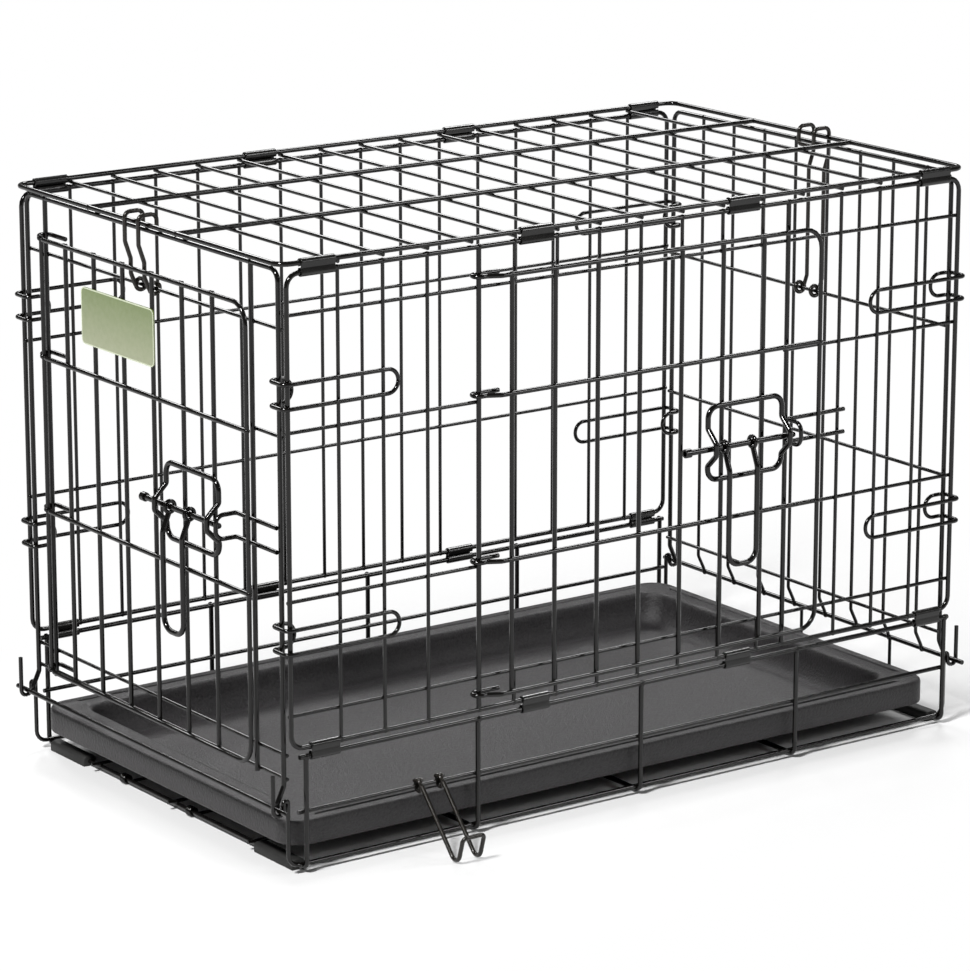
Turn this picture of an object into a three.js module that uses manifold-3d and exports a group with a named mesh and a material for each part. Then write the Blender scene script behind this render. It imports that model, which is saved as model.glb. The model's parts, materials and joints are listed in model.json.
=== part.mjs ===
// Folding wire dog crate, 22 inch size, with two doors, drawn set up and closed.
// Millimetres, +Z up. X runs along the crate, the front door faces -Y and the second
// door is in the end at -X. Until the last lines, x = 0 and y = 0 are the planes of the
// left end posts and the front side panel, and z = 0 is the floor.

import * as THREE from 'three';
import { mergeVertices } from 'three/addons/utils/BufferGeometryUtils.js';
import Module from 'manifold-3d';

const wasm = await Module();
wasm.setup();

const LENGTH = 559;            // end post to end post of a side panel
const DEPTH = 330;             // front side panel to back side panel
const SIDE_TOP_Z = 398;        // side panel top wire
const SIDE_LOW_Z = 86.3;       // side panel bottom wire
const ROOF_Z = SIDE_TOP_Z + 6.3;        // centre of the roof's edge wires
const BASE_ROD_Z = SIDE_LOW_Z - 6.3;    // rod along the top of the base
const END_ROD_Z = 46;          // rod that an end panel folds about
const PITCH = (LENGTH - 41.5) / 15;     // between infill wires of sides and roof
const FRAME_R = 1.7;           // frame wires and posts
const SIDE_WIRE_R = 1.5;       // the base's lengthwise wires
const FILL_R = 1.25;           // infill wires
const DOOR_R = 1.6;            // door wires
const HOOK_R = 1.4;            // corner hooks
const KEEPER_R = 1.5;          // latch keepers
const LATCH_R = 1.9;           // latch frames and handles
const BOLT_R = 2.0;            // latch bolts
const CLIP_R = 1.5;            // spring clips
const WELD = 0.8;              // share of two radii between the centres of welded wires
const CLEAR = 0.3;             // air between separate pieces that touch
const SIDES = 5;               // flats on a wire
const FULL = Math.sqrt(Math.PI / (SIDES / 2 * Math.sin(2 * Math.PI / SIDES)));

const V = (x, y, z) => new THREE.Vector3(x, y, z);
const range = (n) => Array.from({ length: n }, (_, i) => i);

const group = new THREE.Group();
const crate = new THREE.Group();
group.add(crate);

const ENAMEL = { color: 0x2b2a29, roughness: 0.38, metalness: 0.25 };
const ZINC_SPRING = { color: 0x3a3835, roughness: 0.3, metalness: 0.7 };
const SHEET = { color: 0x4a4845, roughness: 0.35, metalness: 0.75 };
const PAN_PLASTIC = { color: 0x3b393c, roughness: 0.6, metalness: 0 };
const FOOT_PLASTIC = { color: 0x1c1c1b, roughness: 0.7, metalness: 0 };
const TAG_GREEN = { color: 0x3f8f3a, roughness: 0.45, metalness: 0 };

// ---- wires and solids -------------------------------------------------------------

// A path through points whose corners are rounded: radii[i] belongs to points[i].
function bend(points, radii, closed = false) {
  const out = [];
  const n = points.length;
  points.forEach((point, i) => {
    const radius = Array.isArray(radii) ? radii[i] : radii;
    if (!closed && (i === 0 || i === n - 1)) { out.push(point); return; }
    const from = points[(i + n - 1) % n].clone().sub(point).normalize();
    const to = points[(i + 1) % n].clone().sub(point).normalize();
    const turn = Math.PI - from.angleTo(to);
    if (!radius || turn < 0.02) { out.push(point); return; }
    const centre = point.clone().add(
      from.clone().add(to).normalize().multiplyScalar(radius / Math.cos(turn / 2)));
    const start = point.clone().addScaledVector(from, radius * Math.tan(turn / 2)).sub(centre);
    const axis = start.clone().cross(from.clone().negate()).normalize();
    const steps = Math.max(1, Math.round(turn / (radius > 8 ? Math.PI / 6 : Math.PI / 4)));
    for (const k of range(steps + 1)) {
      out.push(start.clone().applyAxisAngle(axis, turn * k / steps).add(centre));
    }
  });
  return out.filter((p, i) => i === 0 || p.distanceTo(out[i - 1]) > 1e-3);
}

function solid(rings, capped) {
  const m = rings[0].length;
  const vertices = rings.flat().flatMap((p) => [p.x, p.y, p.z]);
  const faces = [];
  const last = rings.length - (capped ? 1 : 0);
  for (const i of range(last)) {
    const a = i * m;
    const b = ((i + 1) % rings.length) * m;
    for (const j of range(m)) {
      const k = (j + 1) % m;
      faces.push(a + j, a + k, b + k, a + j, b + k, b + j);
    }
  }
  if (capped) {
    const end = (rings.length - 1) * m;
    for (const j of range(m - 2)) {
      faces.push(0, j + 2, j + 1, end, end + j + 1, end + j + 2);
    }
  }
  return new wasm.Manifold(new wasm.Mesh({
    numProp: 3, vertProperties: new Float32Array(vertices), triVerts: new Uint32Array(faces),
  }));
}

// A round wire drawn with flats: each ring lies in the plane that halves the bend there.
function wire(path, radius, closed = false, sides = SIDES) {
  const n = path.length;
  const dir = path.map((p, i) => path[(i + 1) % n].clone().sub(p).normalize());
  if (!closed) dir[n - 1] = dir[n - 2].clone();
  const before = (i) => (closed || i > 0 ? dir[(i + n - 1) % n] : dir[0]);
  const seed = Math.abs(dir[0].z) < 0.9 ? V(0, 0, 1) : V(1, 0, 0);
  let across = seed.addScaledVector(dir[0], -seed.dot(dir[0])).normalize();
  if (closed) {
    across.sub(before(0).clone().multiplyScalar(across.dot(before(0)))).normalize();
  }
  const size = radius * FULL;
  const rings = [];
  path.forEach((point, i) => {
    const along = before(i);
    const halving = along.clone().add(dir[i]).normalize();
    const up = along.clone().cross(across);
    rings.push(range(sides).map((k) => {
      const angle = 2 * Math.PI * k / sides;
      const ray = across.clone().multiplyScalar(size * Math.cos(angle))
        .addScaledVector(up, size * Math.sin(angle));
      return ray.addScaledVector(along, -ray.dot(halving) / along.dot(halving)).add(point);
    }));
    const turn = new THREE.Quaternion().setFromUnitVectors(along, dir[i]);
    across = across.clone().applyQuaternion(turn);
  });
  return solid(rings, !closed);
}

function weld(parts) {
  let list = parts;
  while (list.length > 1) {
    list = range(Math.ceil(list.length / 2)).map((i) => (
      2 * i + 1 < list.length ? list[2 * i].add(list[2 * i + 1]) : list[2 * i]));
  }
  return list[0];
}

// A closed solid from a three.js geometry.
function body(geometry) {
  const bare = geometry.clone();
  bare.deleteAttribute('normal');
  bare.deleteAttribute('uv');
  const merged = mergeVertices(bare, 1e-4);
  return new wasm.Manifold(new wasm.Mesh({
    numProp: 3,
    vertProperties: new Float32Array(merged.attributes.position.array),
    triVerts: new Uint32Array(merged.index.array),
  }));
}

function box(x0, x1, y0, y1, z0, z1) {
  return body(new THREE.BoxGeometry(x1 - x0, y1 - y0, z1 - z0)
    .translate((x0 + x1) / 2, (y0 + y1) / 2, (z0 + z1) / 2));
}

function node(name, manifold, look) {
  const raw = manifold.getMesh();
  const geometry = new THREE.BufferGeometry();
  geometry.setAttribute('position', new THREE.BufferAttribute(raw.vertProperties, 3));
  geometry.setIndex(new THREE.BufferAttribute(raw.triVerts, 1));
  geometry.computeVertexNormals();
  const mesh = new THREE.Mesh(geometry, new THREE.MeshStandardMaterial(look));
  mesh.name = name;
  crate.add(mesh);
}

const fillAt = (i) => 4 + PITCH * i;
const apart = (a, b) => WELD * (a + b);

// ---- base: five U shaped cross wires, rods, floor wires and end cradles --------------

const CROSS_X = range(5).map((i) => 11 + i * (LENGTH - 14) / 4);
const CROSS_Z = 3.4;
const FLOOR_WIRE_Y = [60, DEPTH / 2 - 5, DEPTH - 70];
const FLOOR_WIRE_Z = CROSS_Z + apart(FRAME_R, FILL_R);
const PAN_WIRE_Z = 42;
const PAN_WIRE_IN = apart(FRAME_R, SIDE_WIRE_R);
const SIDE_WIRE_IN = 3.4;
const SIDE_WIRE_Z = CROSS_Z + apart(FRAME_R, SIDE_WIRE_R);
const ROD_OUT = 8.5;           // end rod beyond the side panel's end post
const CRADLE_R = 4;            // bend that the end rod turns in

const basePieces = [];
for (const x of CROSS_X) {
  basePieces.push(wire(bend([V(x, 0, BASE_ROD_Z), V(x, 0, CROSS_Z), V(x, DEPTH, CROSS_Z),
    V(x, DEPTH, BASE_ROD_Z)], 5), FRAME_R));
}
for (const y of [0, DEPTH]) {
  const inward = y === 0 ? 1 : -1;
  basePieces.push(wire([V(6, y, BASE_ROD_Z), V(LENGTH, y, BASE_ROD_Z)], FRAME_R));
  basePieces.push(wire([V(6, y + inward * PAN_WIRE_IN, PAN_WIRE_Z),
    V(LENGTH - 1, y + inward * PAN_WIRE_IN, PAN_WIRE_Z)], SIDE_WIRE_R));
  const w = y + inward * SIDE_WIRE_IN;
  const cradle = [V(-ROD_OUT - CRADLE_R, w, 70), V(-ROD_OUT - CRADLE_R, w, END_ROD_Z - CRADLE_R),
    V(-ROD_OUT + CRADLE_R, w, END_ROD_Z - CRADLE_R), V(-ROD_OUT + CRADLE_R, w, 51.3),
    V(-1, w, 51.3), V(-1, w, SIDE_WIRE_Z)];
  const path = [...cradle, ...cradle.map((p) => V(LENGTH - p.x, p.y, p.z)).reverse()];
  const half = [0, CRADLE_R, CRADLE_R, 1.7, 1.7, 8];
  basePieces.push(wire(bend(path, [...half, ...half.slice().reverse()]), SIDE_WIRE_R));
}
for (const y of FLOOR_WIRE_Y) {
  basePieces.push(wire(bend([V(4, y, FLOOR_WIRE_Z), V(LENGTH - 1, y, FLOOR_WIRE_Z),
    V(LENGTH - 1, y, 50)], 6), FILL_R));
}
node('base_frame', weld(basePieces), ENAMEL);

// ---- plastic sleeves that the crate stands on ----------------------------------------

const FOOT_LENGTH = 46;
const footShape = new THREE.Shape();
footShape.moveTo(-5, 0).lineTo(5, 0).lineTo(5, 5.2).lineTo(3.2, 7.1)
  .lineTo(-3.2, 7.1).lineTo(-5, 5.2).closePath();
const footBore = new THREE.Path();
footBore.absarc(0, CROSS_Z, 2.45, 0, 2 * Math.PI);
footShape.holes.push(footBore);
for (const [name, x, y] of [['foot_front_left', CROSS_X[0], 10],
  ['foot_front_right', CROSS_X[4], 10],
  ['foot_back_left', CROSS_X[0], DEPTH - 10 - FOOT_LENGTH],
  ['foot_back_right', CROSS_X[4], DEPTH - 10 - FOOT_LENGTH]]) {
  const foot = new THREE.ExtrudeGeometry(footShape, {
    depth: FOOT_LENGTH, bevelEnabled: false, curveSegments: 5,
  });
  foot.rotateX(Math.PI / 2).translate(x, y + FOOT_LENGTH, 0);
  node(name, body(foot), FOOT_PLASTIC);
}

// ---- pan: lofted tray with a flat rim, four straight grooves and a skirt -------------

const PAN = { x0: 2, x1: LENGTH - 9, y0: 5.8, y1: DEPTH - 5.8, low: 7.5, top: 34 };

function tray(inset, z, radius) {
  const ring = [];
  const corners = [[PAN.x1, PAN.y0, -90], [PAN.x1, PAN.y1, 0], [PAN.x0, PAN.y1, 90],
    [PAN.x0, PAN.y0, 180]];
  for (const [x, y, start] of corners) {
    const cx = x - Math.sign(x - 100) * (inset + radius);
    const cy = y - Math.sign(y - 100) * (inset + radius);
    for (const k of range(4)) {
      const angle = (start + 30 * k) * Math.PI / 180;
      ring.push(V(cx + radius * Math.cos(angle), cy + radius * Math.sin(angle), z));
    }
  }
  return ring;
}

let pan = solid([
  tray(36, PAN.low + 2.6, 14), tray(31.5, PAN.low + 3.4, 15), tray(27.5, 14, 16),
  tray(24, 20, 17), tray(22.5, PAN.top - 1.6, 18), tray(21, PAN.top, 18),
  tray(2.2, PAN.top, 18), tray(0.8, PAN.top - 0.5, 18), tray(0, PAN.top - 2.2, 18),
  tray(0, 17, 18), tray(2, 17, 17), tray(2.4, PAN.top - 3, 17), tray(20.5, PAN.top - 3, 18),
  tray(22, 19.5, 17), tray(26, 12, 16), tray(31, PAN.low, 14),
].reverse(), true);
for (const [x0, x1, y0, y1] of [
  [PAN.x0 + 24, PAN.x1 - 24, PAN.y0 + 7, PAN.y0 + 10.5],
  [PAN.x0 + 24, PAN.x1 - 24, PAN.y1 - 10.5, PAN.y1 - 7],
  [PAN.x0 + 7, PAN.x0 + 10.5, PAN.y0 + 24, PAN.y1 - 24],
  [PAN.x1 - 10.5, PAN.x1 - 7, PAN.y0 + 24, PAN.y1 - 24]]) {
  pan = pan.subtract(box(x0, x1, y0, y1, PAN.top - 1.4, PAN.top + 1));
}
node('pan', pan, PAN_PLASTIC);

// ---- side panels ---------------------------------------------------------------------

const HINGE_X = 148;           // front door's hinge post
const CATCH_X = LENGTH - 153;  // post on the other side of the front opening
const LINTEL_Z = SIDE_TOP_Z - 27;
const SILL_Z = SIDE_LOW_Z + 21.7;
const RAIL_Z = [0.31344, 0.66956].map((share) => (
  SIDE_LOW_Z + share * (SIDE_TOP_Z - SIDE_LOW_Z)));
const CROSSING = apart(FILL_R, FILL_R);

function sideLoop(y) {
  const loop = [V(0, y, SIDE_LOW_Z), V(LENGTH, y, SIDE_LOW_Z), V(LENGTH, y, SIDE_TOP_Z),
    V(0, y, SIDE_TOP_Z)];
  return wire(bend(loop, 9, true), FRAME_R, true);
}
const upright = (x, y, z0, z1, r) => wire([V(x, y, z0), V(x, y, z1)], r);
const rail = (x0, x1, y, z, r = FILL_R) => wire([V(x0, y, z), V(x1, y, z)], r);

const frontPieces = [sideLoop(0)];
for (const i of range(15).map((k) => k + 1)) {
  const x = fillAt(i);
  if (Math.abs(x - HINGE_X) < 10 || Math.abs(x - CATCH_X) < 14) continue;
  if (x > HINGE_X && x < CATCH_X) {
    frontPieces.push(upright(x, 0, LINTEL_Z, SIDE_TOP_Z, FILL_R));
    frontPieces.push(upright(x, 0, SIDE_LOW_Z, SILL_Z, FILL_R));
  } else frontPieces.push(upright(x, 0, SIDE_LOW_Z, SIDE_TOP_Z, FILL_R));
}
frontPieces.push(upright(HINGE_X, 0, SIDE_LOW_Z, SIDE_TOP_Z, FRAME_R));
frontPieces.push(upright(CATCH_X, 0, SIDE_LOW_Z, SIDE_TOP_Z, FRAME_R));
for (const z of [SILL_Z, LINTEL_Z]) frontPieces.push(rail(0, LENGTH, CROSSING, z));
for (const z of RAIL_Z) {
  frontPieces.push(rail(0, HINGE_X, CROSSING, z), rail(CATCH_X, LENGTH, CROSSING, z));
}
node('front_side_panel', weld(frontPieces), ENAMEL);

const backPieces = [sideLoop(DEPTH)];
for (const i of range(15).map((k) => k + 1)) {
  backPieces.push(upright(fillAt(i), DEPTH, SIDE_LOW_Z, SIDE_TOP_Z, FILL_R));
}
for (const z of RAIL_Z) backPieces.push(rail(0, LENGTH, DEPTH - CROSSING, z));
node('back_side_panel', weld(backPieces), ENAMEL);

// ---- roof ----------------------------------------------------------------------------

const ROOF_X0 = -4.5;
const ROOF_CROSS_Z = ROOF_Z - apart(FRAME_R, FILL_R);
const roofPieces = [wire(bend([V(ROOF_X0, 0, ROOF_Z), V(LENGTH - ROOF_X0, 0, ROOF_Z),
  V(LENGTH - ROOF_X0, DEPTH, ROOF_Z), V(ROOF_X0, DEPTH, ROOF_Z)], 9, true), FRAME_R, true)];
for (const i of range(15).map((k) => k + 1)) {
  roofPieces.push(wire([V(fillAt(i), -1, ROOF_CROSS_Z), V(fillAt(i), DEPTH + 1, ROOF_CROSS_Z)],
    FILL_R));
}
for (const y of [DEPTH / 2 - 43, DEPTH / 2 + 67]) {
  roofPieces.push(wire([V(ROOF_X0, y, ROOF_Z), V(LENGTH - ROOF_X0, y, ROOF_Z)], FRAME_R));
}
node('top_panel', weld(roofPieces), ENAMEL);

// ---- end panels ----------------------------------------------------------------------

const END_OUT = 0.6;           // end panel beyond the side panel's end post
const POST_IN = 8.5;           // end panel's posts inside the side panels
const END_TOP_Z = SIDE_TOP_Z + 1.5;
const LEFT_HINGE_Y = DEPTH - 33;
const LEFT_CATCH_Y = 40;
const END_CROSSING = apart(FRAME_R, FILL_R);

// A wire steps outward at its foot, where it is welded beside the rod.
function endFoot(x, rodX, y, r) {
  const footX = rodX - Math.sign(rodX - x) * apart(FRAME_R, r);
  return [V(footX, y, END_ROD_Z), V(footX, y, END_ROD_Z + 3), V(x, y, 60)];
}

function endFrame(x, rodX) {
  const post = (y) => endFoot(x, rodX, y, FRAME_R);
  return [
    wire(bend([...post(POST_IN), V(x, POST_IN, END_TOP_Z), V(x, DEPTH - POST_IN, END_TOP_Z),
      ...post(DEPTH - POST_IN).reverse()], [0, 4, 6, 8, 8, 6, 4, 0]), FRAME_R),
    wire([V(rodX, -8, END_ROD_Z), V(rodX, DEPTH + 8, END_ROD_Z)], FRAME_R)];
}
const endRail = (x, y0, y1, z, r = FILL_R) => wire([V(x, y0, z), V(x, y1, z)], r);

const leftX = -END_OUT;
const leftPieces = endFrame(leftX, -ROD_OUT);
const leftIn = leftX + END_CROSSING;
const leftRailZ = END_TOP_Z - 38.5;
const endRailZ = RAIL_Z[1] - 4;
for (const z of [64, 80, leftRailZ]) {
  leftPieces.push(endRail(leftIn, POST_IN - 1, DEPTH - POST_IN + 1, z));
}
leftPieces.push(endRail(leftIn, POST_IN - 1, LEFT_CATCH_Y + 1, endRailZ));
for (const y of [LEFT_CATCH_Y, LEFT_HINGE_Y]) {
  leftPieces.push(wire([V(leftX, y, 62), V(leftX, y, END_TOP_Z)], FRAME_R));
}
node('left_end_panel', weld(leftPieces), ENAMEL);

const rightX = LENGTH + END_OUT;
const rightPieces = endFrame(rightX, LENGTH + ROD_OUT);
const rightWireY = (k) => 34 + k * (DEPTH - 78) / 7;
for (const y of range(8).map(rightWireY)) {
  rightPieces.push(wire(bend([...endFoot(rightX, LENGTH + ROD_OUT, y, FILL_R),
    V(rightX, y, END_TOP_Z)], [0, 4, 6, 0]), FILL_R));
}
for (const z of [67, RAIL_Z[0] - 1, endRailZ]) {
  rightPieces.push(endRail(rightX - CROSSING, POST_IN - 1, DEPTH - POST_IN + 1, z));
}
node('right_end_panel', weld(rightPieces), ENAMEL);

// ---- sheet metal hinge clips round two wires, one above the other --------------------

function hingeClip(name, x, y, z0, z1, length) {
  const outer = new THREE.Shape();
  const half = (z1 - z0) / 2;
  const inside = FRAME_R * FULL + CLEAR + 0.1;
  const slot = (shape, r) => {
    shape.moveTo(r, -half).absarc(0, half, r, 0, Math.PI, false);
    shape.absarc(0, -half, r, Math.PI, 2 * Math.PI, false);
  };
  slot(outer, inside + 0.8);
  const hollow = new THREE.Path();
  slot(hollow, inside + 0.05);
  outer.holes.push(hollow);
  const wrap = new THREE.ExtrudeGeometry(outer, {
    depth: length, bevelEnabled: false, curveSegments: 3,
  });
  wrap.rotateX(Math.PI / 2).rotateZ(Math.PI / 2).translate(x - length / 2, y, (z0 + z1) / 2);
  node(name, body(wrap), SHEET);
}
const TOP_CLIP = PITCH - 8.5;  // lengths of the clips, which lie between infill wires
const BASE_CLIP = PITCH - 12.5;
const innerClips = [(fillAt(5) + fillAt(6)) / 2, (fillAt(10) + fillAt(11)) / 2];
const topClipX = [fillAt(1) - 2.3 - TOP_CLIP / 2, ...innerClips,
  fillAt(15) + 1.9 + TOP_CLIP / 2];
const baseClipX = [fillAt(1) - 2 - BASE_CLIP / 2, ...innerClips,
  CROSS_X[4] - 6.4 - BASE_CLIP / 2];
for (const [row, y] of [['front', 0], ['back', DEPTH]]) {
  topClipX.forEach((x, i) => (
    hingeClip(`hinge_clip_top_${row}_${i + 1}`, x, y, SIDE_TOP_Z, ROOF_Z, TOP_CLIP)));
  baseClipX.forEach((x, i) => (
    hingeClip(`hinge_clip_base_${row}_${i + 1}`, x, y, BASE_ROD_Z, SIDE_LOW_Z, BASE_CLIP)));
}

// ---- corner hooks: closed wire loops bent round the end panels' posts -----------------

const HOOK_OUT = 3.9;          // outer legs outside the side panel
const HOOK_IN = 13.5;          // inner legs inside it
const HOOK_TIP_X = -5.2;       // bend round the side and end posts
function cornerHook(name, atEnd, atBack, z) {
  const h = 8;
  const points = [V(82, -HOOK_OUT, z - h), V(82, -HOOK_OUT, z + h)];
  const radii = [h, h];
  points.push(V(HOOK_TIP_X, -HOOK_OUT, z + h), V(HOOK_TIP_X, HOOK_IN, z + h),
    V(12, HOOK_IN, z + h), V(12, HOOK_IN, z - h), V(HOOK_TIP_X, HOOK_IN, z - h),
    V(HOOK_TIP_X, -HOOK_OUT, z - h));
  radii.push(4.5, 4.5, h, h, 4.5, 4.5);
  const placed = points.map((p) => V(atEnd ? LENGTH - p.x : p.x, atBack ? DEPTH - p.y : p.y, p.z));
  node(name, wire(bend(placed, radii, true), HOOK_R, true), ENAMEL);
}
for (const [row, atBack] of [['front', false], ['back', true]]) {
  for (const [end, atEnd] of [['left', false], ['right', true]]) {
    cornerHook(`corner_hook_${row}_${end}_upper`, atEnd, atBack, SIDE_TOP_Z - 78);
    cornerHook(`corner_hook_${row}_${end}_lower`, atEnd, atBack, SIDE_LOW_Z + 72.7);
  }
}

// ---- doors ---------------------------------------------------------------------------
// A door is laid out by u, away from its hinge post, and v, outward from its panel.

const DOOR_V = 6.4;            // door's upright wires outside the panel
const FRAME_V = DOOR_V + apart(DOOR_R, DOOR_R);
const LOOP = 4.4;              // bend of a door wire round its hinge post
const TAIL = 19;               // end of that wire behind the post
const front = (u, v, z) => V(HINGE_X + u, -v, z);
const left = (u, v, z) => V(leftX - v, LEFT_HINGE_Y - u, z);

const hookEnd = (place, z) => [place(12, FRAME_V, z), place(3.2, LOOP, z), place(-LOOP, LOOP, z),
  place(-LOOP, -LOOP, z), place(TAIL, -LOOP, z)];
const hookRadii = [4, 4, LOOP, LOOP, 0];

function door(place, edge, uprights, low, top, rails) {
  const outline = [...hookEnd(place, top).reverse(), place(edge, FRAME_V, top),
    place(edge, FRAME_V, low), ...hookEnd(place, low)];
  const radii = [...hookRadii.slice().reverse(), 14, 14, ...hookRadii];
  const pieces = [wire(bend(outline, radii), DOOR_R)];
  for (const z of rails) {
    pieces.push(wire(bend([place(edge, FRAME_V, z), ...hookEnd(place, z)], [0, ...hookRadii]),
      DOOR_R));
  }
  for (const u of uprights) {
    pieces.push(wire([place(u, DOOR_V, low), place(u, DOOR_V, top)], DOOR_R));
  }
  return weld(pieces);
}
const frontEdge = CATCH_X - HINGE_X + 22;
const frontWires = range(7).map((k) => 22 + k * (frontEdge - 70) / 6);
node('front_door', door(front, frontEdge, frontWires, SILL_Z - 11, LINTEL_Z + 8,
  [RAIL_Z[0] + 4, RAIL_Z[1] + 5]), ENAMEL);

const leftEdge = LEFT_HINGE_Y - LEFT_CATCH_Y + 7;
const leftWires = [5, ...range(6).map((k) => 37 + k * (leftEdge - 80) / 5)];
node('left_door', door(left, leftEdge, leftWires, 69, END_TOP_Z - 25.5,
  [RAIL_Z[0], RAIL_Z[1] - 3]), ENAMEL);

// ---- slide bolt latches --------------------------------------------------------------

const BOLT_V = 15.1;           // bolt outside the panel
const KEEPER_V = (FRAME_R + KEEPER_R) * FULL + CLEAR;
const GUIDE_V = DOOR_V + (DOOR_R + LATCH_R) * FULL + CLEAR;
const HANDLE_V = 21;

function keeper(name, place, u, uEnd, z) {
  const h = 8;
  const points = [place(uEnd, KEEPER_V, z + h), place(u, KEEPER_V, z + h), place(u, 19.6, z + h),
    place(u, 19.6, z - h), place(u, KEEPER_V, z - h), place(uEnd, KEEPER_V, z - h)];
  node(name, wire(bend(points, [0, 2, 6, 6, 2, 0]), KEEPER_R), ENAMEL);
}

function guide(name, place, u0, u1, z) {
  const side = (u, s) => [place(u, GUIDE_V, z + s * 13), place(u, 20.0, z + s * 4),
    place(u, 20.0, z - s * 4), place(u, GUIDE_V, z - s * 13)];
  const points = [place(u0, GUIDE_V, z + 28), place(u1, GUIDE_V, z + 28), ...side(u1, 1),
    place(u1, GUIDE_V, z - 23), place(u0, GUIDE_V, z - 23), ...side(u0, -1)];
  const radii = [8, 8, 3, 3, 3, 3, 8, 8, 3, 3, 3, 3];
  node(name, wire(bend(points, radii, true), LATCH_R, true), ENAMEL);
}

function bolt(name, place, u0, u1, z) {
  const rod = wire([place(u0, BOLT_V, z), place(u1, BOLT_V, z)], BOLT_R);
  const collar = wire([place(u0, BOLT_V, z), place(u0 + 4.5, BOLT_V, z)], 3.2);
  node(name, rod.add(collar), ENAMEL);
}

const EYE_R = 4.9;            // centre line of the eyes that turn on the bolt
function handle(name, place, u0, u1, z) {
  const pieces = [wire(bend([place(u0, BOLT_V + 1, z - EYE_R), place(u0, HANDLE_V, z - 16),
    place(u0, HANDLE_V, z - 82), place(u1, HANDLE_V, z - 82), place(u1, HANDLE_V, z - 16),
    place(u1, BOLT_V + 1, z - EYE_R)], [0, 8, 9, 9, 8, 0]), LATCH_R)];
  for (const u of [u0, u1]) {
    const ring = range(8).map((k) => {
      const angle = 2 * Math.PI * (k + 0.5) / 8;
      return place(u, BOLT_V + EYE_R * Math.cos(angle), z + EYE_R * Math.sin(angle));
    });
    pieces.push(wire(ring, 1.5, true));
  }
  node(name, weld(pieces), ENAMEL);
}

for (const [name, place, u, uEnd, z] of [
  ['front', front, frontEdge - 24, frontEdge + 27, RAIL_Z[0] + 56],
  ['left', left, leftEdge - 22, leftEdge + 26, RAIL_Z[0] + 41]]) {
  keeper(`${name}_keeper`, place, u, uEnd, z);
  guide(`${name}_latch_guide`, place, u - 74, u - 10, z);
  bolt(`${name}_bolt`, place, u - 97, u - 2.4, z);
  handle(`${name}_handle`, place, u - 63, u - 39, z);
}

// ---- plain green tag on the left door ------------------------------------------------

const tagShape = new THREE.Shape();
const tagV = DOOR_V + DOOR_R * FULL + CLEAR;
tagShape.moveTo(-42, -19.5).lineTo(42, -19.5).absarc(42, -15.5, 4, -Math.PI / 2, 0)
  .lineTo(46, 15.5).absarc(42, 15.5, 4, 0, Math.PI / 2).lineTo(-42, 19.5)
  .absarc(-42, 15.5, 4, Math.PI / 2, Math.PI).lineTo(-46, -15.5)
  .absarc(-42, -15.5, 4, Math.PI, 1.5 * Math.PI);
const tag = new THREE.ExtrudeGeometry(tagShape, {
  depth: 1, bevelEnabled: false, curveSegments: 2,
});
tag.rotateX(Math.PI / 2).rotateZ(-Math.PI / 2)
  .translate(leftX - tagV + 0.35, LEFT_HINGE_Y - 107, END_TOP_Z - 68);
node('label_tag', body(tag), TAG_GREEN);

// ---- spring clips --------------------------------------------------------------------

function ringRound(centre, u, w, radius, wireR) {
  return wire(range(8).map((k) => {
    const angle = 2 * Math.PI * (k + 0.5) / 8;
    return centre.clone().addScaledVector(u, radius * Math.cos(angle))
      .addScaledVector(w, radius * Math.sin(angle));
  }), wireR, true);
}

// Two eyes on a wire of the end panel, two legs, and hooked tips joined by a bar.
function topClip(name, mirror, eyeX, eyeZ, y0, y1) {
  const at = (x, y, z) => V(mirror ? LENGTH - x : x, y, z);
  const crown = ROOF_Z + 6.1;
  const legX = ROOF_X0 - 5;
  const tipX = -END_OUT + 5.2;
  const profile = [[eyeX - 3.9, eyeZ], [-END_OUT - 4.8, eyeZ + 8],
    [-END_OUT - 4.8, END_TOP_Z - 20.5], [legX, END_TOP_Z - 8.5], [legX, crown], [tipX, crown],
    [tipX, SIDE_TOP_Z - 0.5]];
  const there = profile.map(([x, z]) => at(x, y0, z));
  const back = profile.map(([x, z]) => at(x, y1, z)).reverse();
  const radii = [0, 4, 4, 4, 4.2, 4.2, 3];
  const pieces = [wire(bend([...there, ...back], [...radii, ...radii.slice().reverse()]), CLIP_R)];
  for (const y of [y0, y1]) {
    pieces.push(ringRound(at(eyeX, y, eyeZ), V(1, 0, 0), V(0, 0, 1), 3.9, CLIP_R));
  }
  node(name, weld(pieces), ZINC_SPRING);
}
const leftClipY = LEFT_HINGE_Y - (leftWires[3] + leftWires[4]) / 2 + 1.5;
const rightClipY = (rightWireY(3) + rightWireY(4)) / 2 + 0.5;
topClip('left_top_clip', false, leftIn, leftRailZ, leftClipY - 8.5, leftClipY + 8.5);
topClip('right_top_clip', true, -END_OUT + CROSSING, endRailZ, rightClipY - 8.5,
  rightClipY + 8.5);

// Two legs rest on the floor by their round bends, then rise to the bar that joins them.
const carryPath = [[PAN_WIRE_IN - 4.1, PAN_WIRE_Z], [-41.5, -2.8], [-48, 19]];
const carryThere = carryPath.map(([y, z]) => V(101, y, z));
const carryBack = carryPath.map(([y, z]) => V(118, y, z)).reverse();
const carry = [wire(bend([...carryThere, ...carryBack], [0, 5, 3, 3, 5, 0]), CLIP_R)];
for (const x of [101, 118]) {
  carry.push(ringRound(V(x, PAN_WIRE_IN, PAN_WIRE_Z), V(0, 1, 0), V(0, 0, 1), 4.2, CLIP_R));
}
node('transport_clip', weld(carry), ZINC_SPRING);

// ---- the frame: floor at z = 0, middle of the whole at x = 0, y = 0 --------------------

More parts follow.
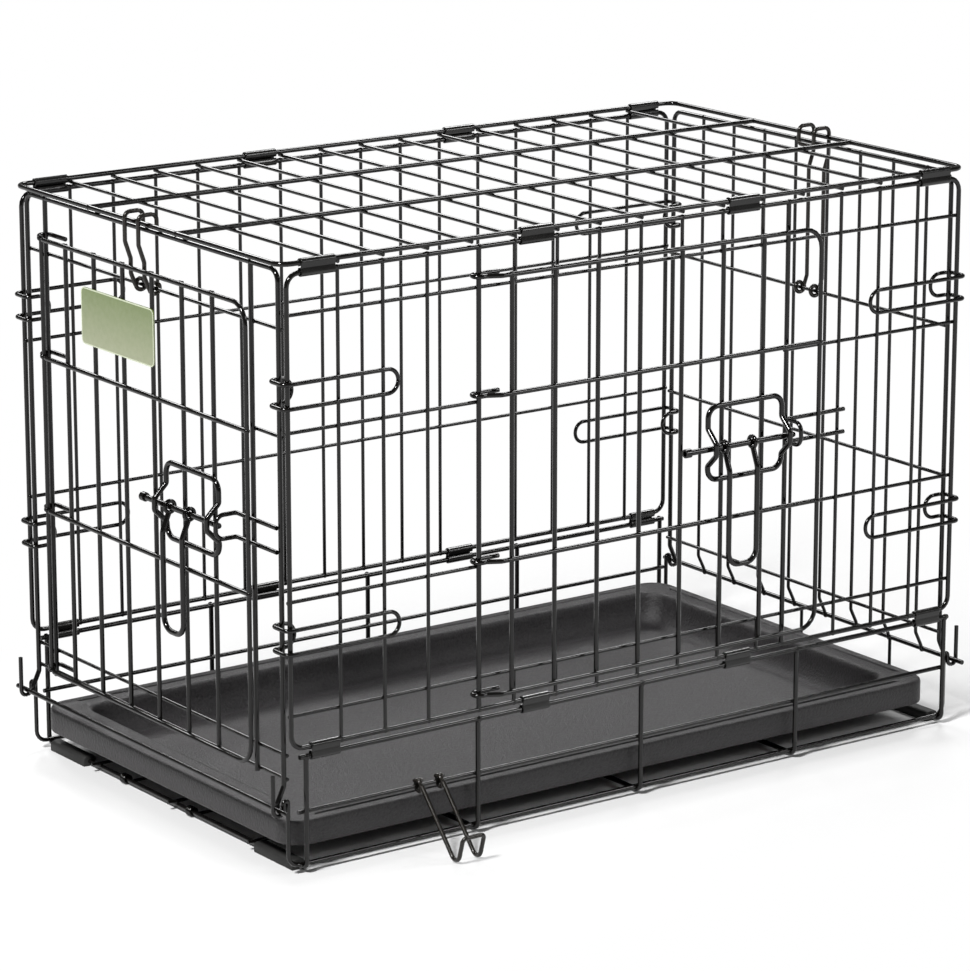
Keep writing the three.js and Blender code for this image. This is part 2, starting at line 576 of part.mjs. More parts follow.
const whole = new THREE.Box3().setFromObject(crate, true);
const middle = whole.getCenter(V(0, 0, 0));
crate.position.set(-middle.x, -middle.y, -whole.min.z);

export default group;
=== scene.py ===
"""A folding wire dog crate with two doors, dressed over its solid model.

Lengths are written in millimetres and places as (along, back, up): along from the left end
posts of the side panels, back from the plane of the front side panel, up from the floor.
"""
import json
import math
import bmesh
import bpy
from mathutils import Matrix, Vector


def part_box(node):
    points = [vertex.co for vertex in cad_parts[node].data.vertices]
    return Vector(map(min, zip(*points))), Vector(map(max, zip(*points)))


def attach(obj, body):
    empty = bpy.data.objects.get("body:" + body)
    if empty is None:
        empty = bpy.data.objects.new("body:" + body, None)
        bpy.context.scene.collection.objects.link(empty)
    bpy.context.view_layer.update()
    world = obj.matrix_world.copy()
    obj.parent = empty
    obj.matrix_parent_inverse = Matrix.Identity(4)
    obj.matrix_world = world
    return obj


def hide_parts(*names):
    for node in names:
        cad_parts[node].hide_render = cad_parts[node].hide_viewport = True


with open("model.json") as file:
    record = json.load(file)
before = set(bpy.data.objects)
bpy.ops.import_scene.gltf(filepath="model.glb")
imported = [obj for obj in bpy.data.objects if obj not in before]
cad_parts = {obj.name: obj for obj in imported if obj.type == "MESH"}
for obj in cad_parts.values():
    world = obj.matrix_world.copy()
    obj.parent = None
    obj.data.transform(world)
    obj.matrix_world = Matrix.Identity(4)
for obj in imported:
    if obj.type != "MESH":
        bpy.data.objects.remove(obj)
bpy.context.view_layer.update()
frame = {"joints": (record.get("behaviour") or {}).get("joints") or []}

# ---------------------------------------------------------------------------------------
# Base frame: five U shaped cross wires of 3.4 mm steel, spot welded to two top rods, two
# pan-height wires, two bottom wires that end in cradles, and three floor wires. The whole
# frame is dipped in black enamel, which rounds the welds over.

hinge_pin = next(j for j in frame["joints"] if j["name"] == "front_door_swing")["pos_m"]
LENGTH, DEPTH, HINGE_ALONG = 559.0, 330.0, 148
FRAME_WIRE, RUNNER_WIRE, FILL_WIRE, DOOR_WIRE = 1.7, 1.5, 1.25, 1.6

# Crossing wires are welded into each other: their middles stand this share of touching apart.
SINK = 0.8


def at(along, back, up):
    """A place on the crate, in the model's metres."""
    return Vector((hinge_pin[0] + (along - HINGE_ALONG) / 1000, hinge_pin[1] + back / 1000,
                   up / 1000))


class Channel:
    """One varying number or colour of a finish, usable in sums."""

    def __init__(self, tree, socket):
        self.tree, self.socket = tree, socket

    def node(self, kind, settings=None, inputs=None, output=0):
        """Adds a node, sets it up, plugs in its inputs and gives back one of its outputs."""
        made = self.tree.nodes.new(kind)
        for name, value in (settings or {}).items():
            setattr(made, name, value)
        for name, value in (inputs or {}).items():
            if isinstance(value, Channel):
                self.tree.links.new(value.socket, made.inputs[name])
            else:
                made.inputs[name].default_value = value
        return Channel(self.tree, made.outputs[output])

    def sum(self, operation, first, second):
        """A Math node on two channels or numbers."""
        return self.node("ShaderNodeMath", {"operation": operation}, {0: first, 1: second})

    def __add__(self, other):
        return self.sum("ADD", self, other)

    def __sub__(self, other):
        return self.sum("SUBTRACT", self, other)

    def __rsub__(self, other):
        return self.sum("SUBTRACT", other, self)

    def __mul__(self, other):
        return self.sum("MULTIPLY", self, other)

    __radd__, __rmul__ = __add__, __mul__

    def noise(self, scale, detail=3.0, roughness=0.55, stretch=(1, 1, 1)):
        """Soft mottling from 0 to 1, as many patches to the metre as scale says."""
        place = self.node("ShaderNodeMapping", None, {"Vector": self, "Scale": stretch})
        return self.node("ShaderNodeTexNoise", None,
                         {"Vector": place, "Scale": scale, "Detail": detail,
                          "Roughness": roughness})

    def band(self, low, high):
        """0 below low, 1 above high."""
        return self.node("ShaderNodeMapRange", {"interpolation_type": "SMOOTHSTEP"},
                         {"Value": self, "From Min": low, "From Max": high})

    def tint(self, from_colour, to_colour):
        """From one colour at 0 to another at 1."""
        return self.node("ShaderNodeMix", {"data_type": "RGBA"},
                         {0: self, 6: (*from_colour, 1), 7: (*to_colour, 1)}, output=2)


def finish(name, **steady):
    """A new finish: its material, its place channel, and ways to plug in channels and a relief."""
    made = bpy.data.materials.new(name)
    made.use_nodes = True
    tree = made.node_tree
    shader = tree.nodes["Principled BSDF"]
    for socket, value in steady.items():
        shader.inputs[socket.replace("_", " ")].default_value = value
    place = Channel(tree, tree.nodes.new("ShaderNodeTexCoord").outputs["Object"])

    def plug(**channels):
        for socket, channel in channels.items():
            tree.links.new(channel.socket, shader.inputs[socket.replace("_", " ")])

    def relief(height, depth_mm, strength=1.0):
        plug(Normal=place.node("ShaderNodeBump", None, {
            "Height": height, "Distance": depth_mm / 1000, "Strength": strength}))
    return made, place, plug, relief


enamel, place, plug, relief = finish("black_enamel", Specular_IOR_Level=0.42)
pooling = place.noise(55, 4)
orange_peel = place.noise(900, 2)
dust = place.noise(240, 5, 0.7).band(0.62, 0.8)
thin_black, dusty_black = (0.0010, 0.0009, 0.0008), (0.0075, 0.0063, 0.0055)
plug(Base_Color=(0.45 * pooling + 0.55 * dust).tint(thin_black, dusty_black),
     Roughness=0.05 + 0.1 * pooling + 0.12 * dust)
relief(0.6 * orange_peel + 0.4 * place.noise(2600, 1), 0.05, 0.5)


def bend(corners, radii, closed=False):
    """Bezier knots for a wire through corners, each corner an arc of its radius."""
    knots = []
    count = len(corners)
    for i, corner in enumerate(corners):
        radius = (radii[i] if isinstance(radii, (list, tuple)) else radii) / 1000
        back, on = corners[i - 1] - corner, corners[(i + 1) % count] - corner
        if (not closed and i in (0, count - 1)) or radius == 0:
            knots.append((corner, corner, corner))
            continue
        back, on = back.normalized(), on.normalized()
        turn = math.pi - back.angle(on)
        if turn < 0.02:
            continue
        run = radius * math.tan(turn / 2)
        pull = radius * math.tan(turn / 4) * 4 / 3
        enter, leave = corner + back * run, corner + on * run
        knots.append((enter, enter, enter - back * pull))
        knots.append((leave - on * pull, leave, leave))
    return knots


def straight(a, b):
    """Knots for a straight wire."""
    return [(a, a, a), (b, b, b)]


def ring_round(centre, axis, radius, turns=1.0, pitch=0.0):
    """Knots for an eye of wire wound round an axis."""
    axis = axis.normalized()
    side = axis.orthogonal().normalized()
    steps = round(turns * 6)
    angle = 2 * math.pi * turns / steps
    pull = radius * 4 / 3 * math.tan(angle / 4)
    knots = []
    for k in range(steps + 1):
        a = k * angle
        out = side * math.cos(a) + axis.cross(side) * math.sin(a)
        ahead = axis.cross(out)
        point = centre + out * radius + axis * (pitch * (k / steps - 0.5))
        knots.append((point - ahead * pull, point, point + ahead * pull))
    return knots


def hang(name, data, coating, body, nodes):
    """Puts a finished shape on its body, over the solids that it stands for."""
    data.materials.append(coating)
    piece = bpy.data.objects.new(name, data)
    bpy.context.collection.objects.link(piece)
    if nodes:
        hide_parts(*nodes)
    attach(piece, body)
    return piece


def wire_piece(name, runs, coating, body, nodes, arc_steps=5, round_steps=3):
    """Round wires as one piece. A run is (knots, radius in mm, closed)."""
    line = bpy.data.curves.new(name, "CURVE")
    line.dimensions = "3D"
    line.bevel_depth = 0.001
    line.bevel_resolution = round_steps
    line.use_fill_caps = True
    line.resolution_u = line.render_resolution_u = arc_steps
    line.twist_mode = "MINIMUM"
    for knots, radius, closed in runs:
        spline = line.splines.new("BEZIER")
        spline.bezier_points.add(len(knots) - 1)
        for knot, (before, point, after) in zip(spline.bezier_points, knots):
            knot.handle_left_type = knot.handle_right_type = "FREE"
            knot.handle_left, knot.co, knot.handle_right = before, point, after
            knot.radius = radius
        spline.use_cyclic_u = closed
        spline.use_smooth = True
    hang(name, line, coating, body, nodes)


def skin(name, mesh, coating, body, nodes, smooth=True):
    """Turns a finished bmesh into a piece of the crate."""
    for face in mesh.faces:
        face.smooth = smooth
    data = bpy.data.meshes.new(name)
    mesh.to_mesh(data)
    mesh.free()
    return hang(name, data, coating, body, nodes)


def weld_beads(name, beads, coating, body):
    """The enamel-filled swellings where wires cross. A bead is (place, sizes in mm)."""
    mesh = bmesh.new()
    for centre, sizes in beads:
        blob = bmesh.ops.create_uvsphere(mesh, u_segments=8, v_segments=5, radius=0.001)
        bmesh.ops.scale(mesh, vec=sizes, verts=blob["verts"])
        bmesh.ops.translate(mesh, vec=centre, verts=blob["verts"])
    skin(name, mesh, coating, body, [])


ROD_UP, CROSS_UP, PAN_WIRE_UP, END_ROD_UP = 80.0, 3.4, 42.0, 46.0
CROSS_ALONG = (11, 147.25, 283.5, 419.75, 556)
CROSS_TIP_UP = ROD_UP + 1.2
FLOOR_WIRE_BACK, FLOOR_WIRE_TIP_UP = (60, 160, 260), 50
CRADLE_OUT, CRADLE_IN, CRADLE_TIP_UP, CRADLE_NECK_UP = 12.35, 4.5, 70, 51.3
CRADLE_SEAT_UP = END_ROD_UP - 4
floor_wire_up = CROSS_UP + SINK * (FRAME_WIRE + FILL_WIRE)
runner_in = SINK * (FRAME_WIRE + RUNNER_WIRE)
base_runs, base_beads = [], []
for along in CROSS_ALONG:
    base_runs.append((bend([at(along, 0, CROSS_TIP_UP), at(along, 0, CROSS_UP),
                            at(along, DEPTH, CROSS_UP), at(along, DEPTH, CROSS_TIP_UP)], 5),
                      FRAME_WIRE, False))
    for back in (0, DEPTH):
        inward = 1 if back == 0 else -1
        base_beads.append((at(along, back - inward, ROD_UP), (2.15, 1.9, 2.6)))
        base_beads.append((at(along, back + inward * runner_in / 2, PAN_WIRE_UP),
                           (2.0, 1.9, 2.0)))
    for back in FLOOR_WIRE_BACK:
        base_beads.append((at(along, back, CROSS_UP + 1.2), (2.0, 2.0, 1.9)))
for back, inward in ((0, 1), (DEPTH, -1)):
    base_runs.append((straight(at(6, back, ROD_UP), at(LENGTH, back, ROD_UP)),
                      FRAME_WIRE, False))
    base_runs.append((straight(at(6, back + inward * runner_in, PAN_WIRE_UP),
                               at(LENGTH - 1, back + inward * runner_in, PAN_WIRE_UP)),
                      RUNNER_WIRE, False))
    track = back + inward * 2 * FRAME_WIRE
    half = [(-CRADLE_OUT, CRADLE_TIP_UP), (-CRADLE_OUT, CRADLE_SEAT_UP),
            (-CRADLE_IN, CRADLE_SEAT_UP), (-CRADLE_IN, CRADLE_NECK_UP), (-1, CRADLE_NECK_UP),
            (-1, CROSS_UP + runner_in)]
    corners = ([at(x, track, z) for x, z in half]
               + [at(LENGTH - x, track, z) for x, z in half[::-1]])
    radii = [0, 4, 4, 1.7, 1.7, 8]
    base_runs.append((bend(corners, radii + radii[::-1]), RUNNER_WIRE, False))
for back in FLOOR_WIRE_BACK:
    base_runs.append((bend([at(4, back, floor_wire_up), at(LENGTH - 1, back, floor_wire_up),
                            at(LENGTH - 1, back, FLOOR_WIRE_TIP_UP)], 6),
                      FILL_WIRE, False))
wire_piece("base_wires", base_runs, enamel, "crate", ["base_frame"])
weld_beads("base_welds", base_beads, enamel, "crate")

# ---------------------------------------------------------------------------------------
# Feet: four black moulded sleeves pushed over the outer cross wires. They keep the wires
# off the floor.

foot_plastic, place, plug, relief = finish("foot_plastic", Specular_IOR_Level=0.4)
grain = place.noise(1400, 3)
plug(Base_Color=place.noise(90, 3).tint((0.008, 0.008, 0.0075), (0.020, 0.020, 0.019)),
     Roughness=0.5 + 0.25 * grain)
relief(grain, 0.08, 0.6)
SLEEVE_ROUND, SLEEVE_RIM = 0.0026, 0.0005

for foot in ("foot_front_left", "foot_front_right", "foot_back_left", "foot_back_right"):
    low, high = (Vector(corner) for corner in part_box(foot))
    mesh = bmesh.new()
    block = bmesh.ops.create_cube(mesh, size=1)
    bmesh.ops.scale(mesh, vec=high - low, verts=block["verts"])
    bmesh.ops.translate(mesh, vec=(high + low) / 2, verts=block["verts"])
    ridges = [e for e in mesh.edges
              if abs((e.verts[0].co - e.verts[1].co).y) > 0.01 and e.verts[0].co.z > low.z + 0.001]
    bmesh.ops.bevel(mesh, geom=ridges, offset=SLEEVE_ROUND, segments=5, profile=0.5,
                    affect="EDGES", material=-1)
    rims = [e for e in mesh.edges if len(e.link_faces) == 2
            and e.link_faces[0].normal.angle(e.link_faces[1].normal) > 0.9]
    bmesh.ops.bevel(mesh, geom=rims, offset=SLEEVE_RIM, segments=2, profile=0.5,
                    affect="EDGES", material=-1)
    skin(foot + "_sleeve", mesh, foot_plastic, "crate", [foot])

# ---------------------------------------------------------------------------------------
# Pan: one thermoformed tray of charcoal plastic with a pebbled skin. A flat rim with four
# straight grooves, coved walls down to the floor, and a skirt round the outside.

pan_plastic, place, plug, relief = finish("pan_plastic", Specular_IOR_Level=0.45)
pebble = place.noise(540, 4, 0.65).band(0.28, 0.72)
fine = place.noise(1900, 2)
cloud = place.noise(9, 4, 0.6)
near_black, charcoal = (0.006, 0.0057, 0.006), (0.040, 0.037, 0.039)
plug(Base_Color=(0.45 * cloud + 0.55 * pebble).tint(near_black, charcoal),
     Roughness=0.3 + 0.16 * pebble + 0.1 * cloud)
relief(0.75 * pebble + 0.25 * fine, 0.36, 1.0)

PAN_LOW, PAN_TOP = 7.5, 34.0
PAN_CORNER, GROOVE_IN = 0.014, 0.00875
pan_left, pan_right, pan_front, pan_back = 2.0, 550.0, 5.8, DEPTH - 5.8
mesh = bmesh.new()

# Each level is how far in from the skirt, and how high, from the floor's edge over the rim,
# down the skirt and back under.
levels = [(36, 10.1), (33.5, 10.4), (30, 11.9), (27.5, 14.6), (25, 19), (23.4, 25), (22.8, 30),
          (22.2, 32.6), (21, 33.8), (19.6, PAN_TOP), (10.5, PAN_TOP), (7, PAN_TOP), (2.4, PAN_TOP),
          (1.1, 33.7), (0.3, 32.9), (0, 31.6), (0, 18), (0.3, 17), (1.6, 17), (2, 17.6), (2.4, 31),
          (20.5, 31), (22, 19.5), (26, 12), (31, PAN_LOW)]
pan_middle = at((pan_left + pan_right) / 2, (pan_front + pan_back) / 2, 0)


def pan_size(inset):
    """How long and how wide the tray is at an inset, in metres."""
    return Vector(((pan_right - pan_left - 2 * inset) / 1000,
                   (pan_back - pan_front - 2 * inset) / 1000))


floor_sheet = bmesh.ops.create_grid(mesh, x_segments=1, y_segments=1, size=0.5)
inset, up = levels[0]
bmesh.ops.scale(mesh, vec=(*pan_size(inset), 1), verts=floor_sheet["verts"])
bmesh.ops.translate(mesh, vec=pan_middle + Vector((0, 0, up / 1000)), verts=floor_sheet["verts"])
bmesh.ops.bevel(mesh, geom=floor_sheet["verts"], offset=PAN_CORNER, segments=8, profile=0.5,
                affect="VERTICES", material=-1)
level_line = list(mesh.edges)
for (last_inset, last_up), (inset, up) in zip(levels, levels[1:]):
    drawn = bmesh.ops.extrude_edge_only(mesh, edges=level_line)["geom"]
    corners = [part for part in drawn if isinstance(part, bmesh.types.BMVert)]
    level_line = [part for part in drawn if isinstance(part, bmesh.types.BMEdge)
                  and part.is_boundary]
    now, then = pan_size(inset), pan_size(last_inset)
    bmesh.ops.translate(mesh, vec=-pan_middle, verts=corners)
    bmesh.ops.scale(mesh, vec=(now.x / then.x, now.y / then.y, 1), verts=corners)
    bmesh.ops.translate(mesh, vec=pan_middle + Vector((0, 0, (up - last_up) / 1000)),
                        verts=corners)
bmesh.ops.edgeloop_fill(mesh, edges=level_line)
bmesh.ops.recalc_face_normals(mesh, faces=mesh.faces)
grooves = []
for face in mesh.faces:
    middle = face.calc_center_median()
    offsets = (middle.x - at(pan_left, 0, 0).x, at(pan_right, 0, 0).x - middle.x,
               middle.y - at(0, pan_front, 0).y, at(0, pan_back, 0).y - middle.y)
    on_the_rim = middle.z > PAN_TOP / 1000 - 0.0001 and face.calc_area() > 0.0005
    if on_the_rim and abs(min(offsets) - GROOVE_IN) < 0.0008:
        grooves.append(face)
for thickness, depth in ((0.3, -0.25), (0.45, -1.4), (0.3, -0.3)):
    bmesh.ops.inset_individual(mesh, faces=grooves, thickness=thickness / 1000,
                               depth=depth / 1000)
skin("pan_tray", mesh, pan_plastic, "pan", ["pan"])

# ---------------------------------------------------------------------------------------
# Pan stop: a small loop of thin wire that hangs by two eyes on the outer cross wire at the
# door end. It lies flat under the pan's edge and is turned up to keep the pan in.

STOP_WIRE, STOP_EYE, STOP_REACH, STOP_UP = 1.0, 2.6, 30, 1.05
STOP_BACK, STOP_TURNS, STOP_COIL = (226, 141), 3, 0.0058
stop_runs = [(bend([at(CROSS_ALONG[0], STOP_BACK[0], STOP_UP),
                    at(STOP_REACH, STOP_BACK[0], STOP_UP), at(STOP_REACH, STOP_BACK[1], STOP_UP),
                    at(CROSS_ALONG[0], STOP_BACK[1], STOP_UP)], 4),
              STOP_WIRE, False)]
for back in STOP_BACK:
    stop_runs.append((ring_round(at(CROSS_ALONG[0], back, CROSS_UP + 0.22), Vector((0, 1, 0)),
                                 STOP_EYE / 1000, STOP_TURNS, STOP_COIL), STOP_WIRE, False))
wire_piece("pan_stop_loop", stop_runs, enamel, "crate", [])

# ---------------------------------------------------------------------------------------
# Side panels: a closed loop of frame wire with rounded corners, thinner upright wires at an
# even pitch, and lengthwise wires across their inner faces. The front panel leaves a doorway
# between its hinge post and its catch post.

PITCH, SIDE_LOW, SIDE_TOP = 34.5, 86.3, 398.0
CATCH_ALONG, LINTEL, SILL = 406, 371, 108
RAILS = (184, 295)
crossing = SINK * 2 * FILL_WIRE
upright_along = [4 + PITCH * i for i in range(1, 16)]
SIDE_CORNER = 9


def side_runs(back, uprights, rails, inward):
    """The wires and welds of a side panel whose rails lie on its inner face."""
    runs = [(bend([at(0, back, SIDE_LOW), at(LENGTH, back, SIDE_LOW), at(LENGTH, back, SIDE_TOP),
                   at(0, back, SIDE_TOP)], SIDE_CORNER, True), FRAME_WIRE, True)]
    beads = []
    for along, low, high, size in uprights:
        runs.append((straight(at(along, back, low), at(along, back, high)), size, False))
        for end in (low, high):
            if end in (SIDE_LOW, SIDE_TOP):
                beads.append((at(along, back, end), (size + 0.7, 2.0, 2.1)))
        for start, stop, up in rails:
            if start <= along <= stop and low <= up <= high:
                beads.append((at(along, back + inward * crossing / 2, up),
                              (size + 0.35, size + 0.2, 1.65)))
    for start, stop, up in rails:
        runs.append((straight(at(start, back + inward * crossing, up),
                              at(stop, back + inward * crossing, up)), FILL_WIRE, False))
        for end in (start, stop):
            beads.append((at(end, back + inward * crossing / 2, up), (2.0, 1.7, 1.7)))
    return runs, beads


front_uprights = [(HINGE_ALONG, SIDE_LOW, SIDE_TOP, FRAME_WIRE),
                  (CATCH_ALONG, SIDE_LOW, SIDE_TOP, FRAME_WIRE)]
for along in upright_along:
    if abs(along - HINGE_ALONG) < 10 or abs(along - CATCH_ALONG) < 14:
        continue
    if HINGE_ALONG < along < CATCH_ALONG:
        front_uprights += [(along, LINTEL, SIDE_TOP, FILL_WIRE),
                           (along, SIDE_LOW, SILL, FILL_WIRE)]
    else:
        front_uprights.append((along, SIDE_LOW, SIDE_TOP, FILL_WIRE))
front_rails = [(0, LENGTH, SILL), (0, LENGTH, LINTEL)]
for up in RAILS:
    front_rails += [(0, HINGE_ALONG, up), (CATCH_ALONG, LENGTH, up)]
runs, beads = side_runs(0, front_uprights, front_rails, 1)
wire_piece("front_panel_wires", runs, enamel, "crate", ["front_side_panel"])
weld_beads("front_panel_welds", beads, enamel, "crate")
runs, beads = side_runs(DEPTH, [(x, SIDE_LOW, SIDE_TOP, FILL_WIRE) for x in upright_along],
                        [(0, LENGTH, up) for up in RAILS], -1)
wire_piece("back_panel_wires", runs, enamel, "crate", ["back_side_panel"])
weld_beads("back_panel_welds", beads, enamel, "crate")

# ---------------------------------------------------------------------------------------
# Roof: a loop of frame wire, fifteen thin cross wires under its long edges, and two long
# wires laid over them.

ROOF, ROOF_START = 404.3, -4.5
LONG_WIRE_BACK = (122, 232)
roof_cross = ROOF - SINK * (FRAME_WIRE + FILL_WIRE)
roof_runs = [(bend([at(ROOF_START, 0, ROOF), at(LENGTH - ROOF_START, 0, ROOF),
                    at(LENGTH - ROOF_START, DEPTH, ROOF), at(ROOF_START, DEPTH, ROOF)],
                   SIDE_CORNER, True), FRAME_WIRE, True)]
roof_beads = []
for along in upright_along:
    roof_runs.append((straight(at(along, -1, roof_cross), at(along, DEPTH + 1, roof_cross)),
                      FILL_WIRE, False))
    for back in (0, *LONG_WIRE_BACK, DEPTH):
        roof_beads.append((at(along, back, (ROOF + roof_cross) / 2), (1.7, 1.95, 1.85)))
for back in LONG_WIRE_BACK:
    roof_runs.append((straight(at(ROOF_START, back, ROOF), at(LENGTH - ROOF_START, back, ROOF)),
                      FRAME_WIRE, False))
    for along in (ROOF_START, LENGTH - ROOF_START):
        roof_beads.append((at(along, back, ROOF), (2.2, 2.5, 2.0)))
wire_piece("roof_wires", roof_runs, enamel, "crate", ["top_panel"])
weld_beads("roof_welds", roof_beads, enamel, "crate")

# ---------------------------------------------------------------------------------------
# End panels: each hangs on a rod that turns in the base's cradles, so that it folds inward.
# The left one is open for the second door; the right one has eight upright wires.

END_OUT, POST_IN, END_TOP, END_ROD_OUT = 0.6, 8.5, 399.5, 8.5
FOOT_RISE, STEP_UP, DOORPOST_LOW, ROD_PAST = 3, 60, 62, 8
LEFT_HINGE_BACK, LEFT_CATCH_BACK = 297, 40
LEFT_RAILS, LATCH_RAIL, RIGHT_RAILS = (64, 80, 361), 291, (67, 183, 291)
RIGHT_FIRST, RIGHT_PITCH, RIGHT_COUNT = 34, 36, 8
end_crossing = SINK * (FRAME_WIRE + FILL_WIRE)


def end_foot(along, rod_along, back, radius):
    """The foot of an upright, stepped over so that it is welded to the side of the rod."""
    foot_along = rod_along - math.copysign(SINK * (FRAME_WIRE + radius), rod_along - along)
    return [at(foot_along, back, END_ROD_UP), at(foot_along, back, END_ROD_UP + FOOT_RISE),
            at(along, back, STEP_UP)]


def end_frame(along, rod_along):
    """The arch of an end panel and the rod that it turns on."""
    front_foot = end_foot(along, rod_along, POST_IN, FRAME_WIRE)
    back_foot = end_foot(along, rod_along, DEPTH - POST_IN, FRAME_WIRE)
    runs = [(bend([*front_foot, at(along, POST_IN, END_TOP), at(along, DEPTH - POST_IN, END_TOP),
                   *reversed(back_foot)], [0, 4, 6, 8, 8, 6, 4, 0]), FRAME_WIRE, False),
            (straight(at(rod_along, -ROD_PAST, END_ROD_UP),
                      at(rod_along, DEPTH + ROD_PAST, END_ROD_UP)), FRAME_WIRE, False)]
    beads = [((foot[0] + at(rod_along, back, END_ROD_UP)) / 2, (2.4, 2.1, 2.1))
             for back, foot in ((POST_IN, front_foot), (DEPTH - POST_IN, back_foot))]
    return runs, beads


left_runs, left_beads = end_frame(-END_OUT, -END_ROD_OUT)
left_inner = -END_OUT + end_crossing
for up in LEFT_RAILS:
    left_runs.append((straight(at(left_inner, POST_IN - 1, up),
                               at(left_inner, DEPTH - POST_IN + 1, up)), FILL_WIRE, False))
    for back in (POST_IN, LEFT_CATCH_BACK, LEFT_HINGE_BACK, DEPTH - POST_IN):
        left_beads.append((at(-END_OUT + end_crossing / 2, back, up), (1.9, 1.9, 1.8)))
left_runs.append((straight(at(left_inner, POST_IN - 1, LATCH_RAIL),
                           at(left_inner, LEFT_CATCH_BACK + 1, LATCH_RAIL)), FILL_WIRE, False))
for back in (POST_IN, LEFT_CATCH_BACK):
    left_beads.append((at(-END_OUT + end_crossing / 2, back, LATCH_RAIL), (1.9, 1.9, 1.8)))
for back in (LEFT_CATCH_BACK, LEFT_HINGE_BACK):
    left_runs.append((straight(at(-END_OUT, back, DOORPOST_LOW), at(-END_OUT, back, END_TOP)),
                      FRAME_WIRE, False))
    left_beads.append((at(-END_OUT, back, END_TOP), (2.1, 2.4, 2.2)))
wire_piece("left_end_wires", left_runs, enamel, "left_end", ["left_end_panel"])
weld_beads("left_end_welds", left_beads, enamel, "left_end")

right_along = LENGTH + END_OUT
right_runs, right_beads = end_frame(right_along, LENGTH + END_ROD_OUT)
for k in range(RIGHT_COUNT):
    back = RIGHT_FIRST + RIGHT_PITCH * k
    foot = end_foot(right_along, LENGTH + END_ROD_OUT, back, FILL_WIRE)
    right_runs.append((bend([*foot, at(right_along, back, END_TOP)], [0, 4, 6, 0]),
                       FILL_WIRE, False))
    right_beads.append((at(right_along, back, END_TOP), (2.0, 1.9, 2.1)))
    right_beads.append(((foot[0] + at(LENGTH + END_ROD_OUT, back, END_ROD_UP)) / 2,
                        (2.2, 1.9, 2.0)))
    for up in RIGHT_RAILS:
        right_beads.append((at(right_along - crossing / 2, back, up), (1.45, 1.6, 1.6)))
for up in RIGHT_RAILS:
    right_runs.append((straight(at(right_along - crossing, POST_IN - 1, up),
                                at(right_along - crossing, DEPTH - POST_IN + 1, up)),
                       FILL_WIRE, False))
wire_piece("right_end_wires", right_runs, enamel, "right_end", ["right_end_panel"])
weld_beads("right_end_welds", right_beads, enamel, "right_end")

# ---------------------------------------------------------------------------------------
# Hinge clips: short strips of thin sheet steel rolled round two wires, one above the other,
# pinched between them, with the seam on the inside. The sides fold on them.

sheet_steel, place, plug, relief = finish("sheet_steel", Coat_Weight=0.3, Coat_Roughness=0.1,
                                         Specular_IOR_Level=0.35)
rolled = place.noise(260, 4, 0.6, (0.15, 1, 1))
scuff = place.noise(700, 3).band(0.58, 0.75)
dark_sheet, worn_sheet = (0.002, 0.0019, 0.0018), (0.018, 0.017, 0.0155)
plug(Base_Color=(0.6 * rolled + 0.4 * scuff).tint(dark_sheet, worn_sheet),
     Roughness=0.1 + 0.2 * rolled, Metallic=0.1 + 0.3 * scuff)
relief(rolled, 0.15, 0.7)


def rolled_clip(name, node):
    """Two lobes of sheet in the room that the solid clip takes."""
    low, high = (Vector(corner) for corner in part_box(node))
    middle, size = (low + high) / 2, high - low
    wall, pinch = 0.0007, 0.62
    inward = 1 if middle.y < at(0, DEPTH / 2, 0).y else -1
    mesh = bmesh.new()
    strip = bmesh.ops.create_grid(mesh, x_segments=1, y_segments=1, size=0.5)
    bmesh.ops.scale(mesh, vec=(size.y - wall, size.z - wall, 1), verts=strip["verts"])
    bmesh.ops.rotate(mesh, cent=(0, 0, 0), matrix=Matrix.Rotation(math.radians(90), 3, "X"),
                     verts=strip["verts"])
    bmesh.ops.rotate(mesh, cent=(0, 0, 0), matrix=Matrix.Rotation(math.radians(90), 3, "Z"),
                     verts=strip["verts"])
    bmesh.ops.bevel(mesh, geom=strip["verts"], offset=(size.y - wall) / 2 * 0.98, segments=7,
                    profile=0.5, affect="VERTICES", material=-1)
    outline = list(mesh.edges)
    bmesh.ops.delete(mesh, geom=mesh.faces[:], context="FACES_ONLY")
    bmesh.ops.translate(mesh, vec=(-size.x / 2, 0, 0), verts=mesh.verts)
    drawn = outline
    for step in (0.03, 0.47, 0.47, 0.03):
        grown = bmesh.ops.extrude_edge_only(mesh, edges=drawn)["geom"]
        bmesh.ops.translate(mesh, vec=(size.x * step, 0, 0),
                            verts=[v for v in grown if isinstance(v, bmesh.types.BMVert)])
        drawn = [e for e in grown if isinstance(e, bmesh.types.BMEdge)]
    for height in (0.0004, -0.0004):
        bmesh.ops.bisect_plane(mesh, geom=mesh.verts[:] + mesh.edges[:] + mesh.faces[:],
                               plane_co=(0, 0, height), plane_no=(0, 0, 1))
    seam = [f for f in mesh.faces if abs(f.calc_center_median().z) < 0.0003
            and f.calc_center_median().y * inward > 0]
    bmesh.ops.delete(mesh, geom=seam, context="FACES")
    waist = [v for v in mesh.verts if abs(v.co.z) < 0.0006]
    bmesh.ops.scale(mesh, vec=(1, pinch, 1), verts=waist)
    bmesh.ops.remove_doubles(mesh, verts=mesh.verts, dist=1e-6)
    bmesh.ops.recalc_face_normals(mesh, faces=mesh.faces)
    bmesh.ops.solidify(mesh, geom=mesh.faces[:], thickness=wall)
    bmesh.ops.translate(mesh, vec=middle, verts=mesh.verts)
    bmesh.ops.recalc_face_normals(mesh, faces=mesh.faces)
    piece = skin(name, mesh, sheet_steel, "crate", [node])
    edge = piece.modifiers.new("rolled_edge", "BEVEL")
    edge.width, edge.segments, edge.limit_method = 0.00018, 2, "ANGLE"
    edge.angle_limit = math.radians(45)


